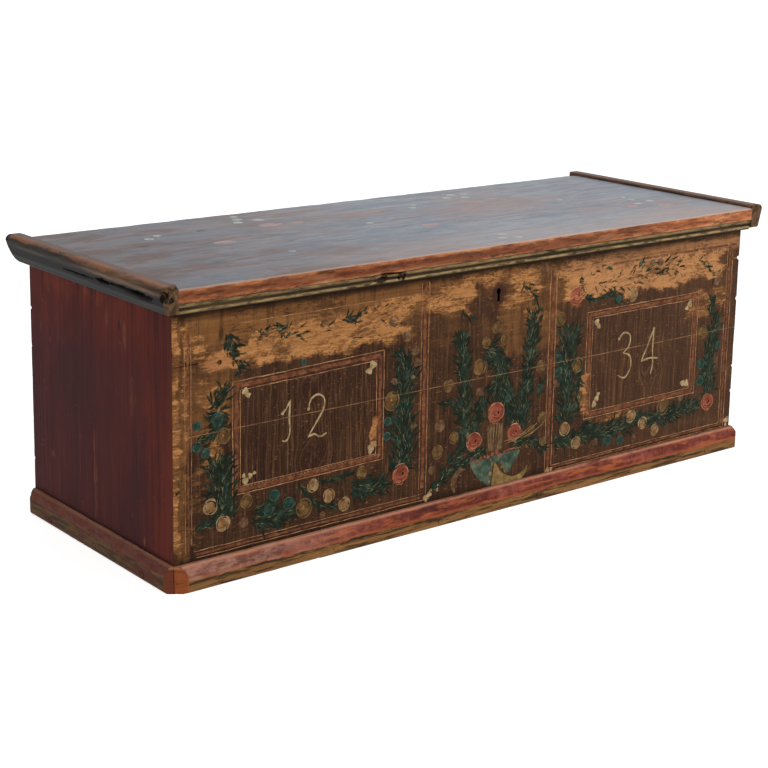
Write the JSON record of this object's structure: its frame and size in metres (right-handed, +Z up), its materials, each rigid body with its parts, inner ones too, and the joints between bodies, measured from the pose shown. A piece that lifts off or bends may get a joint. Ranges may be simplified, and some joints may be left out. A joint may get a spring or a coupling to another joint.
{
  "type": "blanket chest",
  "caption": "Painted pine blanket chest: dovetailed board walls, nailed bottom, foot moulding, open till, box lock, and a flat lid held between end cleats on iron strap hinges.",
  "frame": {"origin": "on the floor, under the middle of the whole chest with its lid closed", "axes": "+X along the front, to the right as seen from the front; +Y from the front to the back; +Z up"},
  "size_m": [1.321, 0.49, 0.4814],
  "materials": {
    "front_paint": "worn matt oil paint over pine",
    "side_paint": "worn matt oxblood paint over pine",
    "back_wood": "aged bare pine",
    "bare_pine": "aged bare pine",
    "base_paint": "worn red paint over pine",
    "lid_paint": "worn blue grey paint over pine",
    "strip_paint": "worn olive paint over pine",
    "cleat_paint": "worn dark slate paint over pine",
    "peg_wood": "aged hardwood",
    "wrought_iron": "dark forged iron"
  },
  "bodies": {
    "carcass": {"back_lower_board": "back_wood", "back_upper_board": "back_wood", "base_moulding_front": "base_paint", "base_moulding_left": "base_paint", "base_moulding_right": "base_paint", "base_nails_front": "wrought_iron", "base_nails_left": "wrought_iron", "base_nails_right": "wrought_iron", "bottom_back_board": "bare_pine", "bottom_front_board": "bare_pine", "bottom_middle_board": "bare_pine", "bottom_nails": "wrought_iron", "front_lower_board": "front_paint", "front_upper_board": "front_paint", "hinge_leaf_left": "wrought_iron", "hinge_leaf_right": "wrought_iron", "hinge_pin_left": "wrought_iron", "hinge_pin_right": "wrought_iron", "leaf_nails_left": "wrought_iron", "leaf_nails_right": "wrought_iron", "left_lower_board": "side_paint", "left_upper_board": "side_paint", "lock_bolt_keepers": "wrought_iron", "lock_case": "wrought_iron", "lock_key_pin": "wrought_iron", "lock_nails": "wrought_iron", "lock_plate": "wrought_iron", "lock_spring": "wrought_iron", "right_lower_board": "side_paint", "right_upper_board": "side_paint", "till_floor": "bare_pine", "till_wall": "bare_pine"},
    "lid": {"cleat_pegs_left": "peg_wood", "cleat_pegs_right": "peg_wood", "hinge_strap_left": "wrought_iron", "hinge_strap_right": "wrought_iron", "lid_back_board": "lid_paint", "lid_cleat_left": "cleat_paint", "lid_cleat_right": "cleat_paint", "lid_front_board": "lid_paint", "lid_front_strip": "strip_paint", "lid_middle_board": "lid_paint", "lid_staple": "wrought_iron", "staple_nails": "wrought_iron", "strap_nails_left": "wrought_iron", "strap_nails_right": "wrought_iron", "strip_brads": "wrought_iron"},
    "bolt": {"lock_bolt": "wrought_iron"}
  },
  "joints": [
    {"name": "lid_hinge", "type": "hinge", "parent": "carcass", "child": "lid", "pos_m": [0, 0.2295, 0.4474], "axis": [-1, 0, 0], "range_deg": [0, 100]},
    {"name": "bolt_slide", "type": "slide", "parent": "carcass", "child": "bolt", "axis": [1, 0, 0], "range_m": [0, 0.016]}
  ]
}
